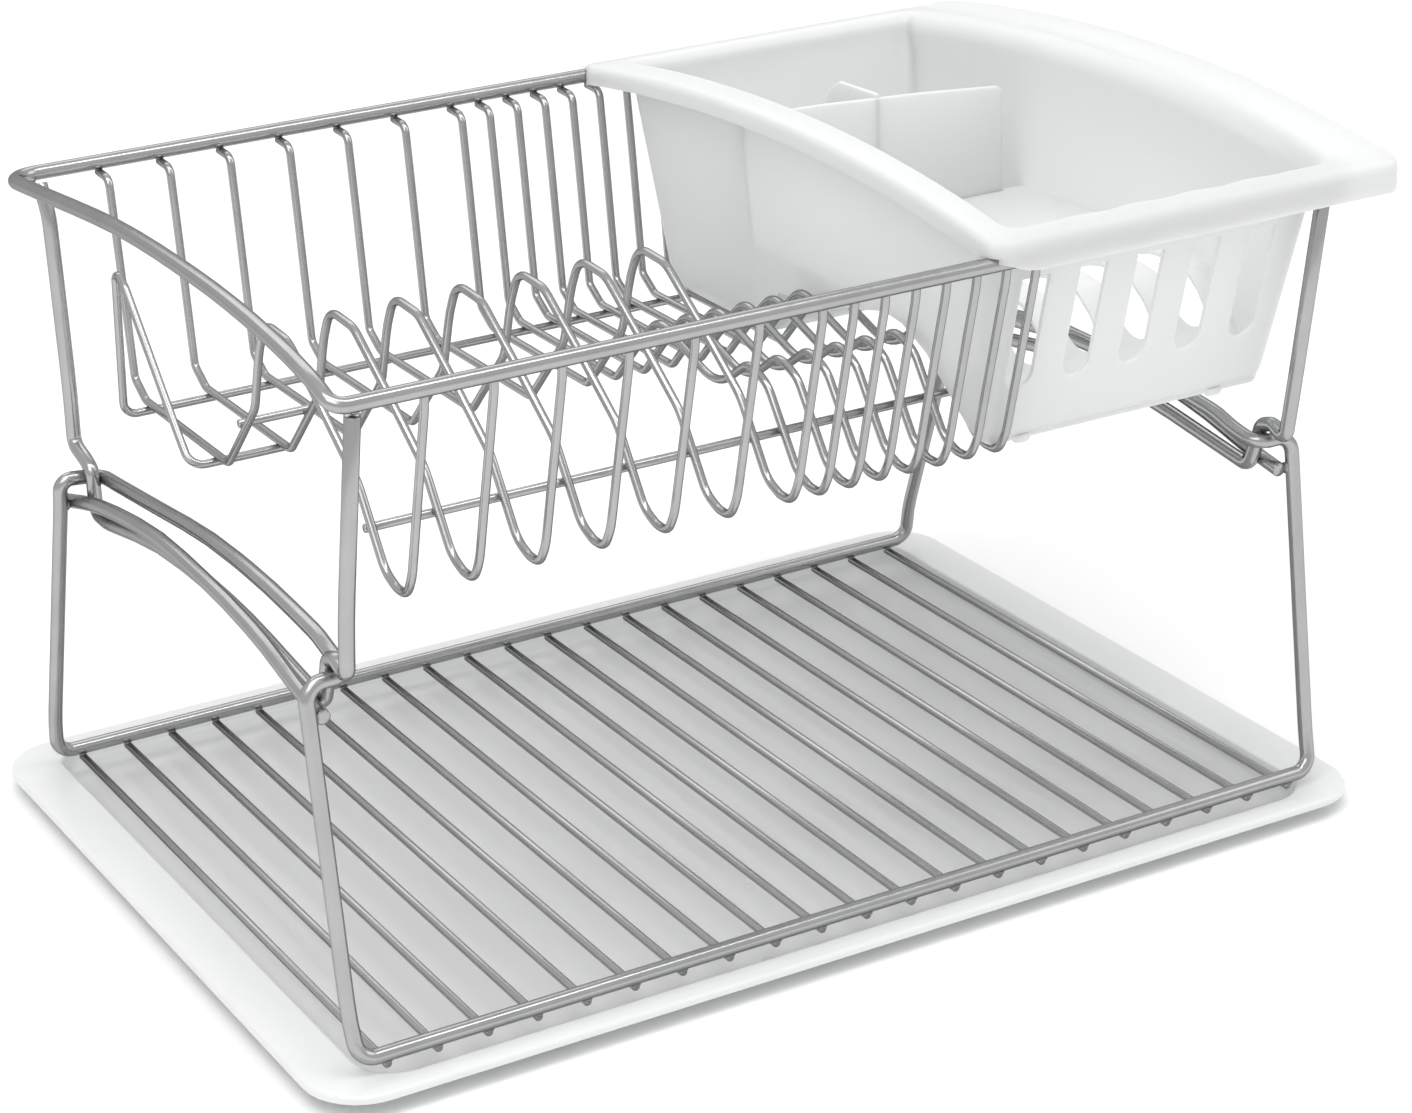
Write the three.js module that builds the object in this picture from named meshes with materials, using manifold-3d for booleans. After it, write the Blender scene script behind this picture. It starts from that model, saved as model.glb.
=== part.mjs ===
import * as THREE from 'three';
import { mergeVertices } from 'three/addons/utils/BufferGeometryUtils.js';
import Module from 'manifold-3d';

// Two-tier dish drying rack, millimetres, +X right, +Y back, +Z up.
// Shapes are drawn with z = 0 at the centre line of the lower rails and lifted by RAIL_Z at the end.
const RAIL_Z = 16;
const GAP = 0.3;

// wires
const THICK = 2.8;
const THIN = 1.45;

// lower tier
const RAIL_Y = 156.7;
const CORNER_X = 221.3;
const ROD_COUNT = 21;
const ROD_PITCH = 21;
const ROD_END_Y = 158.5;
const ROD_Z = -(THICK + THIN + GAP);
const RUN_X = 204.6;
const FRONT_RUN_Y = -136;
const BACK_RUN_Y = 110.7;
const BRACE_X = 216.6;

// upper tier
const RIM_FRONT = { y: -168.6, z: 259.1 };
const RIM_BACK = { y: 142.2, z: 265.3 };
const LEG_X = 210.6;
const WIDE_FIRST_X = -181.4;
const WIDE_PITCH = 26.92;
const WIDE_COUNT = 7;
const NARROW_PITCH = 13.49;
const NARROW_COUNT = 7;

// tray
const TRAY = { x: 241, front: -173.5, back: 184.5, radius: 25, top: ROD_Z - THIN - GAP, lip: 3 };
const TRAY_BODY = { x: 220.5, front: -164, back: 175, radius: 20, wall: 1.5 };

// cutlery basket
const WALL = 2;
const BASKET = { left: 68, right: 204, front: -137, back: 112, floor: 172.3, radius: 14 };
const DRAFT = { left: 0.077, right: 0.077, front: 0.27, back: 0.205 };
const FLANGE = { right: 245, front: -174, back: 148, leftFront: 49, leftBack: 45 };
const CROWN = [[-174, 267.8], [-158, 271.3], [-117, 276.9], [-70, 281], [-21, 282], [31, 281],
  [86, 276.8], [136, 271], [148, 269.8]];
const SLOT = { pitch: 27, width: 13, bottom: 197, top: 246, first: 80, count: 5 };
const FLOOR_SLOT = { first: 84.6, width: 13, front: -120, back: -72 };
const DIVIDER_Y = 32;
const DIVIDER_END_X = 193;
const PARTITION_X = 129;

const v = (x, y, z) => new THREE.Vector3(x, y, z);

// ---------------------------------------------------------------- wires

// A path with exactly one section at every given point.
class PointPath extends THREE.Curve {
  constructor(points) {
    super();
    this.points = points;
  }

  index(u) {
    return Math.round(u * (this.points.length - 1));
  }

  getPoint(u, target = v(0, 0, 0)) {
    return target.copy(this.points[this.index(u)]);
  }

  getPointAt(u, target) {
    return this.getPoint(u, target);
  }

  getTangentAt(u, target = v(0, 0, 0)) {
    const i = this.index(u);
    const here = this.points[i];
    const last = this.points.length - 1;
    const before = i > 0 ? here.clone().sub(this.points[i - 1]).normalize() : v(0, 0, 0);
    const after = i < last ? this.points[i + 1].clone().sub(here).normalize() : v(0, 0, 0);
    return target.copy(before.add(after)).normalize();
  }

  getSpacedPoints() {
    return this.points.map((p) => p.clone());
  }
}

// Corner points to a wire path: every corner sharper than 20 degrees becomes an arc of the radius.
function bent(corners, radius) {
  const path = [corners[0]];
  for (let i = 1; i < corners.length - 1; i += 1) {
    const into = corners[i].clone().sub(corners[i - 1]);
    const out = corners[i + 1].clone().sub(corners[i]);
    const turn = into.angleTo(out);
    if (turn < 0.35) {
      path.push(corners[i]);
    } else {
      path.push(...cornerArc(corners[i], into, out, turn, radius));
    }
  }
  path.push(corners[corners.length - 1]);
  return path;
}

function cornerArc(corner, into, out, turn, radius) {
  const room = 0.45 * Math.min(into.length(), out.length());
  const reach = Math.min(radius * Math.tan(turn / 2), room);
  const r = reach / Math.tan(turn / 2);
  const a = into.clone().normalize();
  const b = out.clone().normalize();
  const centre = corner.clone().add(b.clone().sub(a).normalize().multiplyScalar(r / Math.cos(turn / 2)));
  const start = corner.clone().addScaledVector(a, -reach);
  const axis = a.clone().cross(b).normalize();
  const steps = Math.max(1, Math.round(turn / 0.6));
  const arc = [];
  for (let k = 0; k <= steps; k += 1) {
    const arm = start.clone().sub(centre).applyAxisAngle(axis, (turn * k) / steps);
    arc.push(centre.clone().add(arm));
  }
  return arc;
}

function circle(radius, sides) {
  const shape = new THREE.Shape();
  for (let i = 0; i < sides; i += 1) {
    const a = ((i + 0.5) * 2 * Math.PI) / sides;
    const x = radius * Math.cos(a);
    const y = radius * Math.sin(a);
    if (i === 0) {
      shape.moveTo(x, y);
    } else {
      shape.lineTo(x, y);
    }
  }
  shape.closePath();
  return shape;
}

function wire(points, radius) {
  const sides = radius > 2 ? 8 : 6;
  const path = new PointPath(points);
  const options = { steps: points.length - 1, extrudePath: path, bevelEnabled: false };
  return new THREE.ExtrudeGeometry(circle(radius, sides), options);
}

// ---------------------------------------------------------------- lower tier wires

// One side of the lower loop, from the front rail up the post, back over the arch, down to the back rail.
function lowerSide(s) {
  return [
    v(s * CORNER_X, -RAIL_Y, 0),
    v(s * 222.2, -152.5, 15),
    v(s * 222.6, FRONT_RUN_Y, 144.7),
    v(s * RUN_X, FRONT_RUN_Y, 144.7),
    v(s * RUN_X, -119.6, 146.9),
    v(s * RUN_X, -109.7, 150.1),
    v(s * RUN_X, -66.9, 154),
    v(s * RUN_X, -9.4, 154.6),
    v(s * RUN_X, 43.2, 148.8),
    v(s * RUN_X, 91.8, 143.8),
    v(s * RUN_X, BACK_RUN_Y, 142),
    v(s * 222.6, BACK_RUN_Y, 143.8),
    v(s * 222.8, 112, 132.8),
    v(s * 221.5, 155.2, 15),
    v(s * CORNER_X, RAIL_Y, 0),
  ];
}

function lowerLoop() {
  const butt = 10.5;
  const left = lowerSide(-1);
  const right = lowerSide(1).reverse();
  const corners = [
    v(butt - GAP / 2, RAIL_Y, 0), ...left.reverse(), ...right.reverse(), v(butt + GAP / 2, RAIL_Y, 0),
  ];
  return wire(bent(corners, 7), THICK);
}

function lowerBrace(s) {
  const arch = [[121, 130], [90.5, 138.5], [63.7, 143.4], [15.6, 149.4], [-53, 146], [-88.7, 141],
    [-115.2, 134], [-137, 130.6]];
  return wire(bent(arch.map(([y, z]) => v(s * BRACE_X, y, z)), 7), THICK);
}

function plateRod(i) {
  const x = (i - (ROD_COUNT - 1) / 2) * ROD_PITCH;
  return wire([v(x, -ROD_END_Y, ROD_Z), v(x, ROD_END_Y, ROD_Z)], THIN);
}

// ---------------------------------------------------------------- upper tier wires

function rimArm(s) {
  return [
    v(s * 217.5, RIM_FRONT.y, RIM_FRONT.z),
    v(s * 218, -158, 264),
    v(s * 218.2, -137, 268.5),
    v(s * 218.4, -105, 272.5),
    v(s * 218.8, -70, 275.2),
    v(s * 219.4, -20, 276.3),
    v(s * 219.8, 20, 275.6),
    v(s * 220.3, 66, 272),
    v(s * 220.6, 103, 268.5),
    v(s * 221, RIM_BACK.y, RIM_BACK.z),
  ];
}

function upperRim() {
  const butt = -100;
  const corners = [
    v(butt - GAP / 2, RIM_BACK.y, RIM_BACK.z), ...rimArm(-1).reverse(), ...rimArm(1),
    v(butt + GAP / 2, RIM_BACK.y, RIM_BACK.z),
  ];
  return wire(bent(corners, 13), THICK);
}

// Leg loop of one end: down from the rim, hooked over both runs of the lower loop, up to the rim.
function legLoop(s) {
  const side = [[-166.4, 253], [-151, 172], [-147.2, 148.4], [-139, 153], [-131.5, 150.6],
    [-129, 142], [-124, 130], [-55.3, 138.9], [-20.6, 140.2], [30.6, 139.4], [92, 128.2],
    [103.6, 129], [104.2, 147.5], [111, 150.4], [122.8, 153.5], [121.4, 176], [123.7, 233],
    [124.8, 252]];
  const corners = side.map(([y, z]) => v(s * LEG_X, y, z));
  corners[0].x = s * 209.5;
  corners[1].x = s * 211;
  corners.push(v(s * 211.5, 129.5, 264.5));
  return wire(bent(corners, 5), THICK);
}

// Side profile of a dish wire: hook under the back rail, flat foot, hump, vee, leg up to the front rail.
function dishProfile(wide) {
  const back = [[143.5, RIM_BACK.z - THICK - THIN - GAP], [131.4, 260.5], [127.9, 228.8],
    [122.9, 176.4], [112, 169.6], [24.5, 169.6], [2.3, 191.9]];
  const tall = [[-8.1, 202.7], [-16.9, 229], [-25, 242], [-46, 241], [-72.1, 223.5],
    [-101.9, 202.3], [-121, 174]];
  const low = [[-14.3, 206], [-61, 191.3], [-86.2, 208.5], [-100, 203.5], [-121, 174]];
  const front = [[-130, 170.8], [-138.5, 170.8], [-144, 179.1], [-164, RIM_FRONT.z - 8.5],
    [-164.4, RIM_FRONT.z - 4.4]];
  return [...back, ...(wide ? tall : low), ...front];
}

function dishWireX(i) {
  const lastWide = WIDE_FIRST_X + (WIDE_COUNT - 1) * WIDE_PITCH;
  return i < WIDE_COUNT ? WIDE_FIRST_X + i * WIDE_PITCH : lastWide + (i - WIDE_COUNT + 1) * NARROW_PITCH;
}

function dishWire(i) {
  const x = dishWireX(i);
  return wire(bent(dishProfile(i < WIDE_COUNT).map(([y, z]) => v(x, y, z)), 5), THIN);
}

const DISH_END_X = dishWireX(WIDE_COUNT + NARROW_COUNT - 1) + 1.5;
const UNDER_Z = 169.6 - 2 * THIN - GAP;

function guardRail() {
  const x = -193;
  const corners = [v(DISH_END_X, 108, UNDER_Z), v(x, 108, UNDER_Z), v(x, 102, 232), v(x, 92, 226.5),
    v(x, 46, 176), v(x, 36.5, UNDER_Z), v(dishWireX(1) + 2.5, 36.5, UNDER_Z)];
  return wire(bent(corners, 6), THIN);
}

function crossRail(y, z) {
  return wire([v(WIDE_FIRST_X - 1.5, y, z), v(DISH_END_X, y, z)], THIN);
}

// ---------------------------------------------------------------- solids

const wasm = await Module();
wasm.setup();

function toSolid(geometry) {
  const plain = geometry.clone();
  plain.deleteAttribute('normal');
  plain.deleteAttribute('uv');
  const merged = mergeVertices(plain, 1e-4);
  const mesh = new wasm.Mesh({
    numProp: 3,
    vertProperties: new Float32Array(merged.attributes.position.array),
    triVerts: new Uint32Array(merged.index.array),
  });
  return new wasm.Manifold(mesh);
}

function toGeometry(solid) {
  const mesh = solid.getMesh();
  const geometry = new THREE.BufferGeometry();
  geometry.setAttribute('position', new THREE.BufferAttribute(new Float32Array(mesh.vertProperties), 3));
  geometry.setIndex(new THREE.BufferAttribute(new Uint32Array(mesh.triVerts), 1));
  geometry.computeVertexNormals();
  return geometry;
}

function box(x0, x1, y0, y1, z0, z1) {
  const shape = new THREE.BoxGeometry(x1 - x0, y1 - y0, z1 - z0);
  shape.translate((x0 + x1) / 2, (y0 + y1) / 2, (z0 + z1) / 2);
  return toSolid(shape);
}

// Upright prism over an outline of [x, y] points, with rounded corners.
function prism(outline, radius, z0, z1) {
  const ring = outline.map(([x, y]) => v(x, y, 0));
  const wrapped = [ring[ring.length - 1], ...ring, ring[0]];
  const rounded = bent(wrapped, radius).slice(1, -1);
  const shape = new THREE.Shape(rounded.map((p) => new THREE.Vector2(p.x, p.y)));
  const geometry = new THREE.ExtrudeGeometry(shape, { depth: z1 - z0, bevelEnabled: false });
  geometry.translate(0, 0, z0);
  return toSolid(geometry);
}

function rectangle(x0, x1, y0, y1) {
  return [[x0, y0], [x1, y0], [x1, y1], [x0, y1]];
}

// Solid swept along +X from a closed side profile of [y, z] points.
function sideSweep(profile, x0, x1) {
  const shape = new THREE.Shape(profile.map(([y, z]) => new THREE.Vector2(y, z)));
  const geometry = new THREE.ExtrudeGeometry(shape, { depth: x1 - x0, bevelEnabled: false });
  geometry.applyMatrix4(new THREE.Matrix4().makeBasis(v(0, 1, 0), v(0, 0, 1), v(1, 0, 0)));
  geometry.translate(x0, 0, 0);
  return toSolid(geometry);
}

// Convex loft through rounded rectangles {x0, x1, y0, y1, z, r}.
function loft(rings) {
  const corner = 4;
  const points = [];
  rings.forEach(({ x0, x1, y0, y1, z, r }) => {
    const centres = [[x1 - r, y1 - r], [x0 + r, y1 - r], [x0 + r, y0 + r], [x1 - r, y0 + r]];
    centres.forEach(([cx, cy], q) => {
      for (let k = 0; k <= corner; k += 1) {
        const a = ((q + k / corner) * Math.PI) / 2;
        points.push(cx + r * Math.cos(a), cy + r * Math.sin(a), z);
      }
    });
  });
  const n = 4 * (corner + 1);
  const faces = [];
  for (let j = 0; j < rings.length - 1; j += 1) {
    for (let i = 0; i < n; i += 1) {
      const a = j * n + i;
      const b = j * n + ((i + 1) % n);
      faces.push(a, b, b + n, a, b + n, a + n);
    }
  }
  const top = (rings.length - 1) * n;
  for (let i = 1; i < n - 1; i += 1) {
    faces.push(0, i + 1, i, top, top + i, top + i + 1);
  }
  const geometry = new THREE.BufferGeometry();
  geometry.setAttribute('position', new THREE.Float32BufferAttribute(points, 3));
  geometry.setIndex(faces);
  return toSolid(geometry);
}

// ---------------------------------------------------------------- drip tray

function tray() {
  const { x, front, back, radius, top, lip } = TRAY;
  const w = TRAY_BODY.wall;
  const plate = prism(rectangle(-x, x, front, back), radius, top - lip, top);
  const under = prism(rectangle(-x + w, x - w, front + w, back - w), radius - w, top - lip - 1, top - w);
  const body = trayBody(0, -RAIL_Z, top);
  const inside = trayBody(w, -RAIL_Z + w, top + 1);
  return toGeometry(plate.subtract(under).add(body).subtract(inside));
}

function trayBody(inset, z0, z1) {
  const b = TRAY_BODY;
  const shrink = 5;
  const ring = (extra, z) => ({
    x0: -b.x + inset + extra,
    x1: b.x - inset - extra,
    y0: b.front + inset + extra,
    y1: b.back - inset - extra,
    r: b.radius - inset - extra / 2,
    z,
  });
  return loft([ring(shrink, z0), ring(2, z0 + 1.5), ring(0.5, z0 + 4.5), ring(0, z1)]);
}

// ---------------------------------------------------------------- cutlery basket

function bodyRing(z, inset) {
  const rise = z - BASKET.floor;
  return {
    x0: BASKET.left - rise * DRAFT.left + inset,
    x1: BASKET.right + rise * DRAFT.right - inset,
    y0: BASKET.front - rise * DRAFT.front + inset,
    y1: BASKET.back + rise * DRAFT.back - inset,
    r: BASKET.radius - Math.min(inset, 6),
    z,
  };
}

function bodySolid(inset, z0) {
  return loft([bodyRing(z0, inset + 2), bodyRing(z0 + 0.8, inset + 0.6), bodyRing(z0 + 3, inset),
    bodyRing(300, inset)]);
}

function flangeOutline(inset) {
  const f = FLANGE;
  return [[f.leftFront + inset, f.front + inset], [f.right - inset, f.front + inset],
    [f.right - inset, f.back - inset], [f.leftBack + inset, f.back - inset]];
}

// Everything between two heights measured down from the crowned top.
function underCrown(down, x0, x1) {
  const top = CROWN.map(([y, z]) => [y, z - down]);
  top[0][0] -= 5;
  top[top.length - 1][0] += 5;
  return sideSweep([[top[0][0], 150], [top[top.length - 1][0], 150], ...top.reverse()], x0, x1);
}

function flange() {
  const outer = prism(flangeOutline(0), 16, 240, 300).intersect(underCrown(0, 30, 260));
  const hollow = prism(flangeOutline(1.6), 14.4, 240, 300).intersect(underCrown(WALL, 30, 260));
  const below = underCrown(13, 30, 260);
  const belowLeft = underCrown(8.4, 30, 66);
  const backRail = box(30, 70, 138.5, 146.2, 240, RIM_BACK.z + THICK + GAP);
  const frontRail = box(30, 72, -172.3, -165, 240, RIM_FRONT.z + THICK + GAP);
  return outer.subtract(hollow).subtract(below).subtract(belowLeft).subtract(backRail)
    .subtract(frontRail);
}

// The floor of the long well is raised in a hump over the dish wires below it.
const HUMP = [[-136, 173.5], [-127, 181], [-117, 190], [-106, 204], [-97, 210.5], [-88, 212]];

function hump(grow) {
  const back = DIVIDER_Y - 1 + grow;
  const rise = HUMP.map(([y, z]) => [y, z + grow]);
  return sideSweep([[-137, 160], ...rise, [back, 212 + grow], [back, 160]], 40, 230);
}

// Lower edge of both end walls, cut up around the hump and the middle rail.
function skirtCut() {
  return sideSweep([[-139, 160], [-137.5, 171], [-125.5, 181], [-113.8, 191.3], [-101.2, 202.2],
    [-84.7, 210], [-71.5, 211.5], [-20, 199], [13, 196], [28, 172.8], [28, 160]], 40, 230);
}

function wallSlot(x) {
  const shape = new THREE.Shape();
  const half = SLOT.width / 2;
  shape.moveTo(x - half, SLOT.top);
  shape.lineTo(x - half, SLOT.bottom + half);
  shape.absarc(x, SLOT.bottom + half, half, Math.PI, 2 * Math.PI, false);
  shape.lineTo(x + half, SLOT.top);
  const geometry = new THREE.ExtrudeGeometry(shape, { depth: 24, bevelEnabled: false, curveSegments: 6 });
  geometry.applyMatrix4(new THREE.Matrix4().makeBasis(v(1, 0, 0), v(0, 0, 1), v(0, -1, 0)));
  geometry.translate(0, -139, 0);
  return toSolid(geometry);
}

function floorSlot(x) {
  const half = FLOOR_SLOT.width / 2;
  return prism(rectangle(x - half, x + half, FLOOR_SLOT.front, FLOOR_SLOT.back), 6, 180, 222);
}

function dividers() {
  const half = WALL / 2;
  const face = new THREE.Shape();
  face.moveTo(60, 173);
  face.lineTo(DIVIDER_END_X, 173);
  face.lineTo(DIVIDER_END_X, 259);
  face.lineTo(DIVIDER_END_X - 3, 261.6);
  face.lineTo(99, 268);
  face.lineTo(60, 268);
  const geometry = new THREE.ExtrudeGeometry(face, { depth: WALL, bevelEnabled: false });
  geometry.applyMatrix4(new THREE.Matrix4().makeBasis(v(1, 0, 0), v(0, 0, 1), v(0, -1, 0)));
  geometry.translate(0, DIVIDER_Y + half, 0);
  const short = [[DIVIDER_Y, 173], [125, 173], [125, 214], [92, 226], [70, 262], [DIVIDER_Y, 267]];
  return toSolid(geometry).add(sideSweep(short, PARTITION_X - half, PARTITION_X + half));
}

function basket() {
  const outside = bodySolid(0, BASKET.floor).intersect(underCrown(0.5, 30, 260));
  const inside = bodySolid(WALL, BASKET.floor + WALL);
  const inner = dividers().add(hump(WALL)).intersect(bodySolid(0.5, BASKET.floor));
  const hollow = hump(0).intersect(bodySolid(WALL, BASKET.floor - 12));
  let solid = outside.add(flange()).subtract(inside).add(inner).subtract(hollow).subtract(skirtCut());
  for (let i = 0; i < SLOT.count; i += 1) {
    solid = solid.subtract(wallSlot(SLOT.first + i * SLOT.pitch));
    solid = solid.subtract(floorSlot(FLOOR_SLOT.first + i * SLOT.pitch));
  }
  return toGeometry(solid.add(feet()));
}

function feet() {
  const low = BASKET.floor - 1.8;
  const high = BASKET.floor + 5;
  const row = (y) => [90, 182].map((x) => box(x - 4, x + 4, y, y + 1.6, low, high));
  return wasm.Manifold.union([...row(BASKET.front), ...row(BASKET.back - 3)]);
}

// ---------------------------------------------------------------- assembly

const COATING = { color: 0xb9bcbb, roughness: 0.42, metalness: 0.55 };
const TRAY_PLASTIC = { color: 0xd9dedc, roughness: 0.45, metalness: 0 };
const BASKET_PLASTIC = { color: 0xe2e5e3, roughness: 0.4, metalness: 0 };

const rack = new THREE.Group();
rack.name = 'dish_drying_rack';

function place(name, geometry, finish) {
  geometry.translate(0, 0, RAIL_Z);
  const mesh = new THREE.Mesh(geometry, new THREE.MeshStandardMaterial(finish));
  mesh.name = name;
  rack.add(mesh);
}

const numbered = (name, i) => `${name}_${String(i + 1).padStart(2, '0')}`;

place('drip_tray', tray(), TRAY_PLASTIC);
place('lower_loop', lowerLoop(), COATING);
place('lower_brace_left', lowerBrace(-1), COATING);
place('lower_brace_right', lowerBrace(1), COATING);
for (let i = 0; i < ROD_COUNT; i += 1) {
  place(numbered('plate_rod', i), plateRod(i), COATING);
}
place('upper_rim', upperRim(), COATING);
place('leg_loop_left', legLoop(-1), COATING);
place('leg_loop_right', legLoop(1), COATING);
for (let i = 0; i < WIDE_COUNT + NARROW_COUNT; i += 1) {
  place(numbered('dish_wire', i), dishWire(i), COATING);
}
place('guard_rail', guardRail(), COATING);
place('middle_rail', crossRail(7.4, 191.8), COATING);
place('front_rail', crossRail(-107.6, 186.5), COATING);
place('cutlery_basket', basket(), BASKET_PLASTIC);

export default rack;
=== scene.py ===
"""Two-tier dish drying rack: coated wire tiers, plastic cutlery basket and drip tray.

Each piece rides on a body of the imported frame.
"""
import math

import bmesh
import bpy
from mathutils import Matrix, Vector


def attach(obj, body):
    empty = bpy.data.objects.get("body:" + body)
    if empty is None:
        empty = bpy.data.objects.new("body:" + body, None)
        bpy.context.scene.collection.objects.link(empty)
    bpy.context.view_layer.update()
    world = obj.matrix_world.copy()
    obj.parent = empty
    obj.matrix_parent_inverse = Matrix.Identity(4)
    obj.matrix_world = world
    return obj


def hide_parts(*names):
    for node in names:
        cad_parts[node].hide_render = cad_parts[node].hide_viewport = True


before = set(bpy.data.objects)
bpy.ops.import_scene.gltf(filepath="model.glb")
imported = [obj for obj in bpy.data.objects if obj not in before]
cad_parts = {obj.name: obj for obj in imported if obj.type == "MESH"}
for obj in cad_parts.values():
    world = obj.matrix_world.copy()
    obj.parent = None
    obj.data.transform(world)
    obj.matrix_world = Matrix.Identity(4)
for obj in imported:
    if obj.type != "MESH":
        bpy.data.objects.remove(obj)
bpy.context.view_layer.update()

# Shapes below are in millimetres with z = 0 at the centre line of the lower rails, as in the CAD.
MM = 0.001
RAIL_Z = 16.0

# wires: radius of the two steel cores, and the coating over both
THICK = 2.8
THIN = 1.45
COAT = 0.28

# lower tier
RAIL_Y = 156.7
CORNER_X = 221.3
ROD_COUNT = 21
ROD_PITCH = 21.0
ROD_END_Y = 157.2
ROD_Z = -4.5
RUN_X = 204.6
FRONT_RUN_Y = -136.0
BACK_RUN_Y = 110.7
BRACE_X = 216.6

# upper tier
RIM_FRONT_Y, RIM_FRONT_Z = -168.6, 259.1
RIM_BACK_Y, RIM_BACK_Z = 142.2, 265.3
LEG_X = 210.6
WIDE_FIRST_X = -181.4
WIDE_PITCH = 26.92
WIDE_COUNT = 7
NARROW_PITCH = 13.49
NARROW_COUNT = 7
UNDER_Z = 166.6
RAIL_OVERSHOOT = 1.5

# tray
TRAY_X, TRAY_FRONT, TRAY_BACK, TRAY_R = 241.0, -173.5, 184.5, 25.0
TRAY_TOP = -6.3
POOL_X, POOL_FRONT, POOL_BACK, POOL_R = 219.0, -162.5, 173.5, 18.5
TRAY_WALL = 1.5

# basket
WALL = 2.0
FLOOR_Z = 172.3
WELL_LEFT, WELL_RIGHT, WELL_RIGHT_BACK, WELL_FRONT, WELL_BACK, WELL_R = 68, 207.2, 202, -137, 112, 8
SIDE_DRAFT, FRONT_DRAFT, BACK_DRAFT = 0.077, 0.27, 0.205
FLANGE_RIGHT, FLANGE_FRONT, FLANGE_BACK, FLANGE_R = 245, -174, 148, 8
FLANGE_LEFT, FLANGE_LEFT_BACK = 49, 45
CROWN_Y, CROWN_Z = -19, 282
RAISED_Z = 212
SLOT_FIRST_X, SLOT_PITCH, SLOT_COUNT, SLOT_WIDTH, SLOT_LOW, SLOT_HIGH = 80, 27, 5, 13, 197, 246
FLOOR_SLOT_FIRST_X, FLOOR_SLOT_WIDTH, FLOOR_SLOT_FRONT, FLOOR_SLOT_BACK = 80.5, 14, -116, -72
DIVIDER_Y = 32.0
DIVIDER_END_X = 193
PARTITION_X = 129.0
FEET_X, FEET_Y = (88, 182), (-135.3, 108.6)
INNER_EDGE_Z = 274
FILLET_RIGHT, FILLET_LEFT, FILLET_BACK, FILLET_FRONT, FILLET_WAVE = 9.5, 3.5, 7, 5, 0.9
LIP_SHALLOW, LIP_EXTRA = 8.4, 4.6
NOTCH_LEFT, NOTCH_RIGHT, NOTCH_LOW, NOTCH_GAP = 30, 72, 230, 0.3


def v(x, y, z):
    return Vector((x, y, z))


# ---------------------------------------------------------------- materials


def material(name, base, rough, metal=0.0):
    mat = bpy.data.materials.new(name)
    mat.use_nodes = True
    shader = mat.node_tree.nodes["Principled BSDF"]
    shader.inputs["Base Color"].default_value = (*base, 1)
    shader.inputs["Roughness"].default_value = rough
    shader.inputs["Metallic"].default_value = metal
    return mat, shader


def noise(mat, scale, detail=4.0):
    """Cloudy pattern fixed to the piece. The scale counts clouds in a metre."""
    nodes, links = mat.node_tree.nodes, mat.node_tree.links
    place = nodes.new("ShaderNodeTexCoord")
    texture = nodes.new("ShaderNodeTexNoise")
    texture.inputs["Scale"].default_value = scale
    texture.inputs["Detail"].default_value = detail
    texture.inputs["Roughness"].default_value = 0.55
    links.new(place.outputs["Object"], texture.inputs["Vector"])
    return texture


def ramp(mat, source, stops):
    """Colours a pattern between two stops, each a place and a colour."""
    node = mat.node_tree.nodes.new("ShaderNodeValToRGB")
    for element, (where, colour) in zip(node.color_ramp.elements, stops):
        element.position = where
        element.color = (*colour, 1)
    mat.node_tree.links.new(source, node.inputs["Fac"])
    return node


def bump(mat, shader, source, strength, distance):
    node = mat.node_tree.nodes.new("ShaderNodeBump")
    node.inputs["Strength"].default_value = strength
    node.inputs["Distance"].default_value = distance
    mat.node_tree.links.new(source, node.inputs["Height"])
    mat.node_tree.links.new(node.outputs["Normal"], shader.inputs["Normal"])


def wire_coating(name, dark, light, rough):
    """Silver-grey coating on steel wire: slight cloudiness, fine orange peel, uneven gloss."""
    mat, shader = material(name, light, rough, 0.92)
    colour = ramp(mat, noise(mat, 45, 3).outputs["Fac"], [(0.3, dark), (0.7, light)])
    mat.node_tree.links.new(colour.outputs["Color"], shader.inputs["Base Color"])
    gloss = ramp(mat, noise(mat, 300, 3).outputs["Fac"],
                 [(0.3, (rough - 0.03,) * 3), (0.75, (rough + 0.05,) * 3)])
    mat.node_tree.links.new(gloss.outputs["Color"], shader.inputs["Roughness"])
    bump(mat, shader, noise(mat, 1400, 2).outputs["Fac"], 0.08, 0.00004)
    shader.inputs["Specular Tint"].default_value = (0.4, 0.4, 0.4, 1)
    return mat


def frosted_plastic(name, dark, light, rough, glow):
    """Milky moulded plastic: light passes a little way in, faint flow marks, uneven satin gloss."""
    mat, shader = material(name, light, rough)
    colour = ramp(mat, noise(mat, 9, 2).outputs["Fac"], [(0.05, dark), (0.95, light)])
    mat.node_tree.links.new(colour.outputs["Color"], shader.inputs["Base Color"])
    gloss = ramp(mat, noise(mat, 14, 1).outputs["Fac"],
                 [(0.05, (rough - 0.07,) * 3), (0.95, (rough + 0.09,) * 3)])
    mat.node_tree.links.new(gloss.outputs["Color"], shader.inputs["Roughness"])
    shader.inputs["Subsurface Weight"].default_value = glow
    shader.inputs["Subsurface Radius"].default_value = (0.012, 0.013, 0.012)
    shader.inputs["Subsurface Scale"].default_value = 1.0
    shader.inputs["IOR"].default_value = 1.49
    return mat


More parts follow.
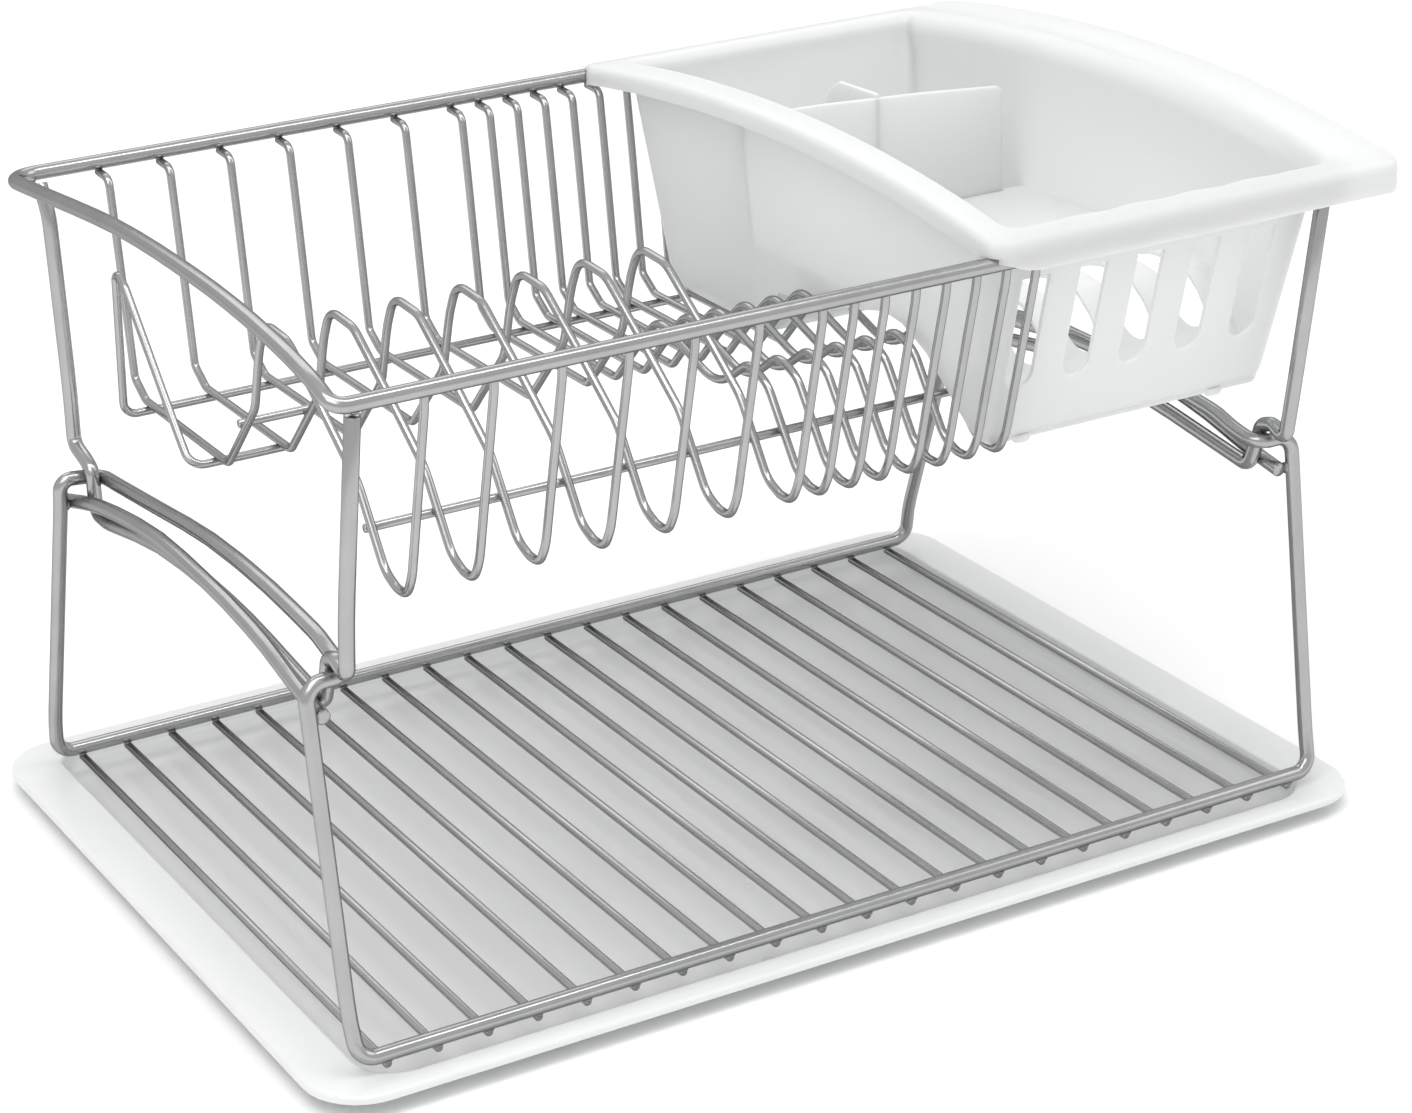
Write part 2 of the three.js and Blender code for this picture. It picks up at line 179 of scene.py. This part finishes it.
COATING = wire_coating("wire_coating", (0.38, 0.385, 0.38), (0.42, 0.425, 0.42), 0.21)
WELD = wire_coating("weld_metal", (0.26, 0.26, 0.26), (0.34, 0.34, 0.335), 0.34)
BASKET = frosted_plastic("basket_plastic", (0.625, 0.642, 0.635), (0.65, 0.665, 0.658), 0.4, 0.6)
TRAY = frosted_plastic("tray_plastic", (0.72, 0.738, 0.73), (0.74, 0.755, 0.748), 0.3, 0.5)


# ---------------------------------------------------------------- meshes


def mesh_object(name, verts, faces):
    mesh = bpy.data.meshes.new(name)
    mesh.from_pydata([(p.x * MM, p.y * MM, (p.z + RAIL_Z) * MM) for p in verts], [], faces)
    thing = bpy.data.objects.new(name, mesh)
    bpy.context.scene.collection.objects.link(thing)
    return thing


def add_piece(name, verts, faces, mat, body, sharp=None):
    """Visible piece that rides on a body and is coloured by a material slot."""
    piece = mesh_object(name, verts, faces)
    finish_mesh(piece, mat, sharp)
    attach(piece, body)
    return piece


def finish_mesh(piece, mat, sharp):
    """Outward normals, smooth shading, and edges sharper than the angle (degrees) kept crisp."""
    mesh = piece.data
    work = bmesh.new()
    work.from_mesh(mesh)
    bmesh.ops.recalc_face_normals(work, faces=work.faces)
    for face in work.faces:
        face.smooth = True
    if sharp is not None:
        for edge in work.edges:
            edge.smooth = len(edge.link_faces) == 2 and edge.calc_face_angle(0) < math.radians(sharp)
    work.to_mesh(mesh)
    work.free()
    mesh.materials.clear()
    mesh.materials.append(mat)


def rounded(corners, radius, closed=False):
    """Corner points to a path. A corner may carry its own radius as a second item.

    Gentle turns belong to bows and get the largest radius that fits between their neighbours.
    """
    gentle, bow_radius, step = 0.35, 5000.0, 0.14
    points = [c[0] if isinstance(c, tuple) else c for c in corners]
    radii = [c[1] if isinstance(c, tuple) else None for c in corners]
    count = len(points)
    path = []
    for i in range(count):
        if not closed and i in (0, count - 1):
            path.append(points[i].copy())
            continue
        into = points[i] - points[i - 1]
        out = points[(i + 1) % count] - points[i]
        turn = into.angle(out)
        if turn < 1e-4:
            path.append(points[i].copy())
            continue
        wanted = radii[i] or (radius if turn > gentle else bow_radius)
        reach = min(wanted * math.tan(turn / 2), 0.49 * into.length, 0.49 * out.length)
        r = reach / math.tan(turn / 2)
        a, b = into.normalized(), out.normalized()
        centre = points[i] + (b - a).normalized() * (r / math.cos(turn / 2))
        arm = points[i] - a * reach - centre
        axis = a.cross(b).normalized()
        steps = max(2, math.ceil(turn / step))
        for k in range(steps + 1):
            path.append(centre + Matrix.Rotation(turn * k / steps, 3, axis) @ arm)
    return path


def frames_along(path, closed):
    """A tangent and a turning-free normal at each point of a path."""
    count = len(path)
    tangents = []
    for i in range(count):
        before = path[i] - path[i - 1] if closed or i > 0 else path[1] - path[0]
        after = path[(i + 1) % count] - path[i] if closed or i < count - 1 else before
        tangents.append((before.normalized() + after.normalized()).normalized())
    normal = tangents[0].orthogonal().normalized()
    normals = [normal]
    for i in range(1, count):
        normal = tangents[i - 1].rotation_difference(tangents[i]) @ normal
        normal = (normal - tangents[i] * normal.dot(tangents[i])).normalized()
        normals.append(normal)
    if closed:
        last = tangents[-1].rotation_difference(tangents[0]) @ normals[-1]
        slip = math.atan2(last.cross(normals[0]).dot(tangents[0]), last.dot(normals[0]))
        for i in range(count):
            normals[i] = Matrix.Rotation(slip * i / count, 3, tangents[i]) @ normals[i]
    return tangents, normals


def tube(path, radius, closed=False):
    """Round wire along a path, with slightly rounded cut ends unless it is a closed ring."""
    flat_end = 0.45
    sides = 20 if radius > 2 else 14
    tangents, normals = frames_along(path, closed)
    rings = [(p, t, n, radius) for p, t, n in zip(path, tangents, normals)]
    if not closed:
        first, last = rings[0], rings[-1]
        rings[0] = (first[0] + first[1] * flat_end, *first[1:])
        rings[-1] = (last[0] - last[1] * flat_end, *last[1:])
        rings.insert(0, (first[0] + first[1] * flat_end * 0.25, first[1], first[2], radius * 0.88))
        rings.insert(0, (first[0], first[1], first[2], radius * 0.6))
        rings.append((last[0] - last[1] * flat_end * 0.25, last[1], last[2], radius * 0.88))
        rings.append((last[0], last[1], last[2], radius * 0.6))
    verts, faces = [], []
    for point, tangent, normal, r in rings:
        side = tangent.cross(normal)
        for k in range(sides):
            a = math.tau * k / sides
            verts.append(point + normal * (r * math.cos(a)) + side * (r * math.sin(a)))
    count = len(rings)
    for j in range(count if closed else count - 1):
        for k in range(sides):
            a, b = j * sides + k, j * sides + (k + 1) % sides
            c, d = (a + sides) % len(verts), (b + sides) % len(verts)
            faces.append((a, b, d, c))
    if not closed:
        faces.append(tuple(range(sides)))
        faces.append(tuple(range(len(verts) - sides, len(verts))))
    return verts, faces


def wire(name, path, radius, body, closed=False):
    """Coated wire that stands in for the CAD node of the same name."""
    verts, faces = tube(path, radius + COAT, closed)
    piece = add_piece(name + "_wire", verts, faces, COATING, body, 60)
    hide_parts(name)


def side_points(x, corners):
    """Path corners in a plane of constant x from (y, z) or (y, z, radius)."""
    return [(v(x, *c[:2]), c[2] if len(c) > 2 else None) for c in corners]


class Welds:
    """Small squashed beads of weld metal, gathered into one mesh."""

    def __init__(self):
        self.verts, self.faces = [], []

    def bead(self, centre, size):
        rings, sides = 6, 10
        start = len(self.verts)
        lump = 0.12 * math.sin(centre.x * 1.7 + centre.y * 0.9)
        self.verts.append(centre + v(0, 0, size.z))
        for j in range(1, rings):
            polar = math.pi * j / rings
            for k in range(sides):
                a = math.tau * k / sides
                r = math.sin(polar) * (1 + lump * math.sin(2 * a + centre.x))
                self.verts.append(centre + v(size.x * r * math.cos(a), size.y * r * math.sin(a),
                                             size.z * math.cos(polar)))
        self.verts.append(centre - v(0, 0, size.z))
        end = len(self.verts) - 1
        for k in range(sides):
            n = (k + 1) % sides
            self.faces.append((start, start + 1 + k, start + 1 + n))
            for j in range(rings - 2):
                a = start + 1 + j * sides
                self.faces.append((a + k, a + sides + k, a + sides + n, a + n))
            last = start + 1 + (rings - 2) * sides
            self.faces.append((last + k, end, last + n))

    def build(self, name, body):
        return add_piece(name, self.verts, self.faces, WELD, body)


# ---------------------------------------------------------------- lower tier


def lower_side(s):
    """Half of the lower loop on side s (-1 left, 1 right): front post, top run, back post."""
    x = s * RUN_X
    return [
        v(s * CORNER_X, -RAIL_Y, 0), v(s * 222.2, -152.5, 15), v(s * 222.6, FRONT_RUN_Y, 144.7),
        v(x, FRONT_RUN_Y, 144.7), v(x, -119.6, 146.9), v(x, -109.7, 150.1), v(x, -66.9, 154),
        v(x, -9.4, 154.6), v(x, 43.2, 148.8), v(x, 91.8, 143.8), v(x, BACK_RUN_Y, 142),
        v(s * 222.6, BACK_RUN_Y, 143.8), v(s * 222.8, 112, 132.8), v(s * 221.5, 155.2, 15),
        v(s * CORNER_X, RAIL_Y, 0),
    ]


def build_lower_tier():
    loop = lower_side(-1)[::-1] + lower_side(1)
    wire("lower_loop", rounded(loop, 7.5, closed=True), THICK, "lower_rack", closed=True)
    arch = [(121, 130), (90.5, 138.5), (63.7, 143.4), (15.6, 149.4), (-53, 146), (-88.7, 141),
            (-115.2, 134), (-137, 130.6)]
    for name, s in (("left", -1), ("right", 1)):
        wire("lower_brace_" + name, rounded(side_points(s * BRACE_X, arch), 12), THICK, "lower_rack")
    welds = Welds()
    for i in range(ROD_COUNT):
        x = (i - (ROD_COUNT - 1) / 2) * ROD_PITCH
        wire(f"plate_rod_{i + 1:02d}", [v(x, -ROD_END_Y, ROD_Z), v(x, ROD_END_Y, ROD_Z)], THIN,
             "lower_rack")
        for y in (-RAIL_Y, RAIL_Y):
            welds.bead(v(x, y, -3.0), v(1.9, 2.3, 0.9))
    for s in (-1, 1):
        welds.bead(v(s * 219.6, -136.6, 131), v(1.1, 2.4, 2.6))
        welds.bead(v(s * 219.8, 113.2, 131.5), v(1.1, 2.4, 2.6))
    welds.build("lower_welds", "lower_rack")


# ---------------------------------------------------------------- upper tier


def rim_arm(s):
    """Bowed end of the upper rim, from the front corner to the back one."""
    return [
        (v(s * 217.5, RIM_FRONT_Y, RIM_FRONT_Z), 13), v(s * 218, -158, 264), v(s * 218.2, -137, 268.5),
        v(s * 218.4, -105, 272.5), v(s * 218.8, -70, 275.2), v(s * 219.4, -20, 276.3),
        v(s * 219.8, 20, 275.6), v(s * 220.3, 66, 272), v(s * 220.6, 103, 268.5),
        (v(s * 221, RIM_BACK_Y, RIM_BACK_Z), 13),
    ]


def leg_loop(s):
    """Front leg, hook, arch, hook and back leg of one end of the upper tier."""
    side = [(-147.2, 148.4, 4), (-139, 153, 5), (-131.5, 150.6, 5),
            (-129, 142, 5), (-124, 130, 6), (-55.3, 138.9), (-20.6, 140.2), (30.6, 139.4),
            (92, 128.2), (103.6, 129, 5), (104.2, 147.5, 4), (111, 150.4, 6), (122.8, 153.5, 5),
            (121.4, 176), (123.7, 233), (124.8, 252, 30)]
    top_front = [v(s * 209.5, -166.4, 254.5), v(s * 211, -151, 172)]
    return rounded(top_front + side_points(s * LEG_X, side) + [v(s * 211.5, 129.5, 264.5)], 5)


def dish_profile(wide):
    """Side of a dish wire: hook on the back rail, foot, tall or low hump, front leg."""
    back = [(143.0, RIM_BACK_Z - THICK - THIN), (131.4, 260.5, 4), (127.9, 228.8),
            (122.9, 176.4, 4), (112, 169.6, 7), (24.5, 169.6, 7), (2.3, 191.9)]
    tall = [(-8.1, 202.7, 16), (-16.9, 229, 60), (-25, 242, 12), (-46, 241, 14), (-72.1, 223.5, 60),
            (-101.9, 202.3, 24), (-121, 174, 14)]
    low = [(-14.3, 206, 13), (-61, 191.3, 26), (-86.2, 208.5, 11), (-100, 203.5, 14), (-121, 174, 14)]
    front = [(-130, 170.8, 9), (-138.5, 170.8, 9), (-144, 179.1, 30), (-164, RIM_FRONT_Z - 8.5),
             (-164.6, RIM_FRONT_Z - 2.5)]
    return back + (tall if wide else low) + front


def dish_wire_x(i):
    if i < WIDE_COUNT:
        return WIDE_FIRST_X + i * WIDE_PITCH
    last_wide = WIDE_FIRST_X + (WIDE_COUNT - 1) * WIDE_PITCH
    return last_wide + (i - WIDE_COUNT + 1) * NARROW_PITCH


def build_upper_tier():
    body = "upper_rack"
    rim = rim_arm(-1)[::-1] + rim_arm(1)
    wire("upper_rim", rounded(rim, 13, closed=True), THICK, body, closed=True)
    welds = Welds()
    for name, s in (("left", -1), ("right", 1)):
        wire("leg_loop_" + name, leg_loop(s), THICK, body)
        welds.bead(v(s * 209.5, -167.5, 256.4), v(2.6, 2.2, 1.6))
        welds.bead(v(s * 214.8, 133.4, 265.2), v(3.4, 2.4, 1.8))
    for i in range(WIDE_COUNT + NARROW_COUNT):
        x = dish_wire_x(i)
        path = rounded(side_points(x, dish_profile(i < WIDE_COUNT)), 5)
        wire(f"dish_wire_{i + 1:02d}", path, THIN, body)
        welds.bead(v(x, RIM_FRONT_Y + 2.8, RIM_FRONT_Z - 2.2), v(1.7, 1.0, 1.6))
        welds.bead(v(x, RIM_BACK_Y, RIM_BACK_Z - 2.9), v(1.7, 1.9, 0.7))
        for y, z in ((108, 168.2), (6.3, 190.6), (-109.2, 187.5)):
            welds.bead(v(x, y, z), v(1.2, 1.2, 1.1))
    first = WIDE_FIRST_X - RAIL_OVERSHOOT
    last = dish_wire_x(WIDE_COUNT + NARROW_COUNT - 1) + RAIL_OVERSHOOT
    guard = [v(last, 108, UNDER_Z), (v(-193, 108, UNDER_Z), 6), (v(-193, 102, 232), 4),
             (v(-193, 92, 226.5), 6), v(-193, 46, 176), (v(-193, 36.5, UNDER_Z), 7),
             v(dish_wire_x(1) + 2.5, 36.5, UNDER_Z)]
    wire("guard_rail", rounded(guard, 6), THIN, body)
    wire("middle_rail", [v(first, 7.4, 191.8), v(last, 7.4, 191.8)], THIN, body)
    wire("front_rail", [v(first, -107.6, 186.5), v(last, -107.6, 186.5)], THIN, body)
    welds.build("upper_welds", body)


# ---------------------------------------------------------------- moulded plastic


def outline(x0, x1, y0, y1, r, x0_back=None, x1_back=None, sides=28, turn=8):
    """Rounded four-cornered outline with the same number of points for any size."""
    x0_back = x0 if x0_back is None else x0_back
    x1_back = x1 if x1_back is None else x1_back
    corners = [v(x1, y0, 0), v(x1_back, y1, 0), v(x0_back, y1, 0), v(x0, y0, 0)]
    ring = []
    for i in range(4):
        here, before, after = corners[i], corners[i - 1], corners[(i + 1) % 4]
        a, b = (here - before).normalized(), (after - here).normalized()
        angle = a.angle(b)
        reach = r * math.tan(angle / 2)
        centre = here + (b - a).normalized() * (r / math.cos(angle / 2))
        arm = here - a * reach - centre
        for k in range(turn + 1):
            ring.append(centre + Matrix.Rotation(angle * k / turn, 3, "Z") @ arm)
        following = (corners[(i + 2) % 4] - after).normalized()
        next_reach = r * math.tan(b.angle(following) / 2)
        start, end = here + b * reach, after - b * next_reach
        for k in range(1, sides):
            ring.append(start.lerp(end, k / sides))
    return ring


def raised(points, z):
    return [p + v(0, 0, z) for p in points]


def skin(rings):
    """One surface through rings of equal length, the last one filled with a fan."""
    verts = [p for ring in rings for p in ring]
    n = len(rings[0])
    faces = []
    for j in range(len(rings) - 1):
        for i in range(n):
            a, b = j * n + i, j * n + (i + 1) % n
            faces.append((a, b, b + n, a + n))
    last = rings[-1]
    verts.append(sum(last, v(0, 0, 0)) / n)
    for i in range(n):
        faces.append((len(verts) - 1, (len(rings) - 1) * n + i, (len(rings) - 1) * n + (i + 1) % n))
    return verts, faces


def thicken(piece, thickness):
    """Solid wall on the far side of an open skin."""
    solid = piece.modifiers.new("wall", "SOLIDIFY")
    solid.thickness = thickness * MM
    solid.offset = -1
    solid.use_even_offset = True
    apply_modifiers(piece)


def apply_modifiers(piece):
    done = bpy.data.meshes.new_from_object(piece.evaluated_get(bpy.context.evaluated_depsgraph_get()))
    piece.modifiers.clear()
    old = piece.data
    piece.data = done
    bpy.data.meshes.remove(old)


def cut(piece, tool, operation="DIFFERENCE"):
    boolean = piece.modifiers.new("cut", "BOOLEAN")
    boolean.operation = operation
    boolean.solver = "EXACT"
    boolean.object = tool
    apply_modifiers(piece)
    bpy.data.objects.remove(tool)


def scratch(verts, faces):
    """A working solid for a cut or a join."""
    tool = mesh_object("scratch", verts, faces)
    work = bmesh.new()
    work.from_mesh(tool.data)
    bmesh.ops.recalc_face_normals(work, faces=work.faces)
    work.to_mesh(tool.data)
    work.free()
    return tool


def prism_faces(n):
    """Faces of a prism whose first n corners are one end and whose next n are the other."""
    faces = [tuple(range(n)), tuple(range(2 * n - 1, n - 1, -1))]
    return faces + [(i, i + n, (i + 1) % n + n, (i + 1) % n) for i in range(n)]


def swept(profile, direction):
    """Prism between a flat closed profile of points and its copy moved along a direction."""
    return scratch(list(profile) + [p + direction for p in profile], prism_faces(len(profile)))


def block(x0, x1, y0, y1, z0, z1):
    return swept([v(x0, y0, z0), v(x1, y0, z0), v(x1, y1, z0), v(x0, y1, z0)], v(0, 0, z1 - z0))


# ---------------------------------------------------------------- drip tray


def build_tray():
    def flange(inset, z):
        return raised(outline(-TRAY_X + inset, TRAY_X - inset, TRAY_FRONT + inset, TRAY_BACK - inset,
                              TRAY_R - inset), z)

    def pool(inset, z):
        return raised(outline(-POOL_X + inset, POOL_X - inset, POOL_FRONT + inset, POOL_BACK - inset,
                              POOL_R - inset / 2), z)

    top, low = TRAY_TOP, -RAIL_Z + TRAY_WALL
    rings = [
        flange(0, top - 3), flange(0, top - 1.6), flange(0.3, top - 0.7), flange(0.9, top - 0.2),
        flange(1.9, top),
        pool(-1.6, top), pool(-0.7, top - 0.15), pool(-0.2, top - 0.6), pool(0, top - 1.4),
        pool(0.6, low + 3.4), pool(1.1, low + 1.6), pool(2.3, low + 0.5), pool(4.4, low), pool(12, low),
    ]
    verts, faces = skin(rings)
    piece = add_piece("drip_tray_moulding", verts, faces, TRAY, "tray")
    thicken(piece, TRAY_WALL)
    finish_mesh(piece, TRAY, 45)
    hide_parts("drip_tray")


# ---------------------------------------------------------------- cutlery basket


def crown(y):
    """Height of the arched top of the basket's flange."""
    return CROWN_Z - (4.6e-4 if y > CROWN_Y else 5.7e-4) * (y - CROWN_Y) ** 2


def well_outline(z, inset):
    """Outside of the basket's flared wall at a height, moved inwards by the inset."""
    rise = z - FLOOR_Z
    side = rise * SIDE_DRAFT - inset
    return outline(WELL_LEFT - side, WELL_RIGHT + side, WELL_FRONT - rise * FRONT_DRAFT + inset,
                   WELL_BACK + rise * BACK_DRAFT - inset, WELL_R - min(inset, 4.5),
                   x1_back=WELL_RIGHT_BACK + side)


def well(z, inset):
    return raised(well_outline(z, inset), z)


def under_top(points, drop):
    return [v(p.x, p.y, crown(p.y) - drop) for p in points]


def flange_outline(inset):
    return outline(FLANGE_LEFT + inset, FLANGE_RIGHT - inset, FLANGE_FRONT + inset, FLANGE_BACK - inset,
                   FLANGE_R - inset, x0_back=FLANGE_LEFT_BACK + inset)


def lip_bottom():
    """Lower edge of the outer lip: shallow along the left side, deeper elsewhere."""
    ring = []
    for p in flange_outline(0):
        deep = min(1.0, max(0.0, (p.x - 52) / 16))
        ring.append(v(p.x, p.y, crown(p.y) - LIP_SHALLOW - LIP_EXTRA * deep * deep * (3 - 2 * deep)))
    return ring


def hump_profile(grow):
    """Side of the floor of the long well, raised over the dish wires below it."""
    rise = [(-136, 173.5), (-127, 181), (-117, 190), (-106, 204), (-97, 210.5), (-88, RAISED_Z)]
    back = DIVIDER_Y - 1 + grow
    return [(WELL_FRONT, 160)] + [(y, z + grow) for y, z in rise] + [(back, RAISED_Z + grow), (back, 160)]


def skirt_profile():
    """What is cut from both end walls around the hump and the middle rail."""
    return [(-139, 160), (-137.5, 171), (-125.5, 181), (-113.8, 191.3), (-101.2, 202.2), (-84.7, 210),
            (-71.5, 211.5), (-20, 199), (13, 196), (28, 172.8), (28, 160)]


def slot_profile(middle):
    """Upright slot with a half-round bottom, as (x, z) pairs."""
    half = SLOT_WIDTH / 2
    bottom = [(middle + half * math.cos(a), SLOT_LOW + half + half * math.sin(a))
              for a in [math.pi + math.pi * k / 12 for k in range(13)]]
    return [(middle - half, SLOT_HIGH)] + bottom + [(middle + half, SLOT_HIGH)]


def rim_fillet(p, normal, turn):
    """A point of the flange's rolled inner edge, from the wall (turn 0) to the flat top (turn 1).

    The radius depends on the side, and waves a little along the front, in step with the slots.
    """
    right, left = max(0, normal.x) ** 2, max(0, -normal.x) ** 2
    back, front = max(0, normal.y) ** 2, max(0, -normal.y) ** 2
    fade = min(1, max(0, (p.x - 75) / 20)) * min(1, max(0, (200 - p.x) / 20))
    wave = fade * math.cos((p.x - SLOT_FIRST_X) * math.tau / SLOT_PITCH)
    r = FILLET_RIGHT * right + FILLET_LEFT * left + FILLET_BACK * back
    r += (FILLET_FRONT + FILLET_WAVE * wave) * front
    a = turn * math.pi / 2
    place = p + normal * (r * (1 - math.cos(a)) - 1.5)
    return v(place.x, place.y, crown(place.y) - r * (1 - math.sin(a)))


def ring_normals(ring):
    """Outward normals of a flat ring."""
    n = len(ring)
    along = [(ring[(i + 1) % n] - ring[i - 1]).normalized() for i in range(n)]
    return [v(t.y, -t.x, 0) for t in along]


def basket_shell():
    edge = well_outline(INNER_EDGE_Z, WALL)
    normals = ring_normals(edge)

    def fillet(turn):
        return [rim_fillet(p, n, turn) for p, n in zip(edge, normals)]

    rings = [
        lip_bottom(), under_top(flange_outline(0), 4.2), under_top(flange_outline(0.3), 2.7),
        under_top(flange_outline(1.1), 1.2), under_top(flange_outline(2.4), 0.3),
        under_top(flange_outline(4.2), 0),
    ]
    rings += [fillet(t) for t in (1.0, 0.8, 0.6, 0.4, 0.2, 0.0)]
    low = FLOOR_Z + WALL
    rings += [well(z, WALL) for z in (256, 240, 215, 190, low + 5)]
    rings += [well(low + 2, WALL + 0.7), well(low + 0.6, WALL + 2), well(low, WALL + 4.5)]
    verts, faces = skin(rings)
    piece = add_piece("basket_moulding", verts, faces, BASKET, "basket")
    thicken(piece, WALL - 0.1)
    return piece


def body_solid(inset, low, high):
    """Solid inside the basket's wall, between two heights."""
    rings = [well(low, inset), well(FLOOR_Z + 3, inset), well(high, inset)]
    verts, faces = skin(rings)
    faces = [f for f in faces if len(f) == 4]
    n = len(rings[0])
    faces += [tuple(range(n)), tuple(range(2 * n, 3 * n))]
    return scratch(verts[:3 * n], faces)


def build_basket():
    piece = basket_shell()
    left_end, across = 40, v(190, 0, 0)
    bridge = swept([v(left_end, y, z) for y, z in hump_profile(WALL)], across)
    cut(bridge, body_solid(0.7, FLOOR_Z + 0.2, 240), "INTERSECT")
    cut(piece, bridge, "UNION")
    hollow = swept([v(left_end, y, z) for y, z in hump_profile(0)], across)
    cut(hollow, body_solid(WALL, FLOOR_Z - 12, 240), "INTERSECT")
    cut(piece, hollow)
    cut(piece, swept([v(left_end, y, z) for y, z in skirt_profile()], across))
    for i in range(SLOT_COUNT):
        front = [v(x, -135, z) for x, z in slot_profile(SLOT_FIRST_X + SLOT_PITCH * i)]
        cut(piece, swept(front, v(0, -34, 0)))
        x = FLOOR_SLOT_FIRST_X + SLOT_PITCH * i
        half = FLOOR_SLOT_WIDTH / 2
        floor_slot = outline(x - half, x + half, FLOOR_SLOT_FRONT, FLOOR_SLOT_BACK, 6.5, sides=2)
        cut(piece, swept(raised(floor_slot, 180), v(0, 0, 42)))
    for y0, y1, rail_z in ((138.5, 146.2, RIM_BACK_Z), (-172.3, -165, RIM_FRONT_Z)):
        cut(piece, block(NOTCH_LEFT, NOTCH_RIGHT, y0, y1, NOTCH_LOW, rail_z + THICK + NOTCH_GAP))
    for x in FEET_X:
        for y in FEET_Y:
            cut(piece, foot(x, y), "UNION")
    finish_mesh(piece, BASKET, 32)
    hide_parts("cutlery_basket")
    build_dividers()


def foot(x, y):
    """Small rounded nub under the basket's floor."""
    sides, half_x, half_y = 20, 4, 1.7
    angles = [math.tau * k / sides for k in range(sides)]
    ring = [(half_x * math.cos(a), half_y * math.sin(a)) for a in angles]
    levels = [(1.5, 1.0), (-0.7, 1.0), (-1.4, 0.85), (-1.75, 0.5)]
    verts = [v(x + a * scale, y + b * scale, FLOOR_Z + rise) for rise, scale in levels for a, b in ring]
    faces = []
    for j in range(len(levels) - 1):
        for k in range(sides):
            a, b = j * sides + k, j * sides + (k + 1) % sides
            faces.append((a, b, b + sides, a + sides))
    faces += [tuple(range(sides)), tuple(range(len(verts) - 1, len(verts) - 1 - sides, -1))]
    return scratch(verts, faces)


def build_dividers():
    half, end = WALL / 2, DIVIDER_END_X
    long_wall = [(66, RAISED_Z), (end, RAISED_Z), (end, 257.5), (end - 1, 260.3), (end - 3.5, 261.7),
                 (150, 265), (99, 268), (63, 269)]
    verts = [v(x, DIVIDER_Y + y, z) for y in (-half, half) for x, z in long_wall]
    plate_piece("basket_divider", verts)
    short_wall = [(32, 174), (110.5, 174), (116, 206), (92, 226), (70, 262), (62, 267), (32, 268)]
    verts = [v(PARTITION_X + x, y, z) for x in (-half, half) for y, z in short_wall]
    plate_piece("basket_partition", verts)


def plate_piece(name, verts):
    """Flat plate with softened edges, from the corners of one face followed by those of the other."""
    piece = add_piece(name, verts, prism_faces(len(verts) // 2), BASKET, "basket")
    bevel = piece.modifiers.new("edge", "BEVEL")
    bevel.width = 0.7 * MM
    bevel.segments = 3
    apply_modifiers(piece)
    finish_mesh(piece, BASKET, 40)


# ---------------------------------------------------------------- stage


def build_floor():
    reach, level = 6, -0.0005
    corners = [(x * reach, y * reach, level) for x, y in ((-1, -1), (1, -1), (1, 1), (-1, 1))]
    mesh = bpy.data.meshes.new("floor")
    mesh.from_pydata(corners, [], [(0, 1, 2, 3)])
    floor = bpy.data.objects.new("floor", mesh)
    bpy.context.scene.collection.objects.link(floor)
    mat, shader = material("floor", (0.93, 0.93, 0.93), 0.7)
    colour = ramp(mat, noise(mat, 3).outputs["Fac"], [(0.3, (0.92,) * 3), (0.7, (0.94,) * 3)])
    mat.node_tree.links.new(colour.outputs["Color"], shader.inputs["Base Color"])
    mesh.materials.append(mat)


def softbox(name, place, target, size, power):
    """Rectangular lamp that points at a target. Sizes are in metres and the power is in watts."""
    data = bpy.data.lights.new(name, "AREA")
    data.shape = "RECTANGLE"
    data.size, data.size_y = size
    data.energy = power
    lamp = bpy.data.objects.new(name, data)
    lamp.location = place
    lamp.rotation_euler = (Vector(target) - Vector(place)).to_track_quat("-Z", "Y").to_euler()
    bpy.context.scene.collection.objects.link(lamp)


def build_lights():
    world = bpy.data.worlds.new("studio")
    world.use_nodes = True
    world.node_tree.nodes["Background"].inputs["Color"].default_value = (1, 1, 1, 1)
    world.node_tree.nodes["Background"].inputs["Strength"].default_value = 0.80
    bpy.context.scene.world = world
    softbox("key", (-1.3, -1.0, 1.9), (0, 0, 0.1), (1.6, 1.6), 15)
    softbox("fill", (1.9, -0.9, 1.5), (0, 0, 0.15), (1.4, 1.4), 8)
    softbox("back", (0.3, 1.7, 1.9), (0, 0, 0.1), (2.2, 1.2), 10)
    softbox("strip", (-0.2, -0.5, 2.3), (0, 0, 0.1), (2.8, 0.3), 20)


def build_camera():
    data = bpy.data.cameras.new("camera")
    data.sensor_width = 36
    data.lens = 91.46
    data.shift_x, data.shift_y = 0.0002, -0.0065
    data.clip_start, data.clip_end = 0.05, 30
    camera = bpy.data.objects.new("camera", data)
    # axes and place of the camera, fitted to the photograph's view
    right = v(0.86565, -0.49970, -0.03064)
    up = v(0.21540, 0.31650, 0.92381)
    ahead = v(0.45194, 0.80630, -0.38162)
    turn = Matrix((right, up, -ahead)).transposed().to_4x4()
    camera.matrix_world = Matrix.Translation((-0.66696, -1.22537, 0.69102)) @ turn
    bpy.context.scene.collection.objects.link(camera)
    bpy.context.scene.camera = camera


bpy.context.scene.view_settings.view_transform = "Standard"
build_camera()
build_floor()
build_lights()
build_lower_tier()
build_upper_tier()
build_tray()
build_basket()
bpy.context.view_layer.update()
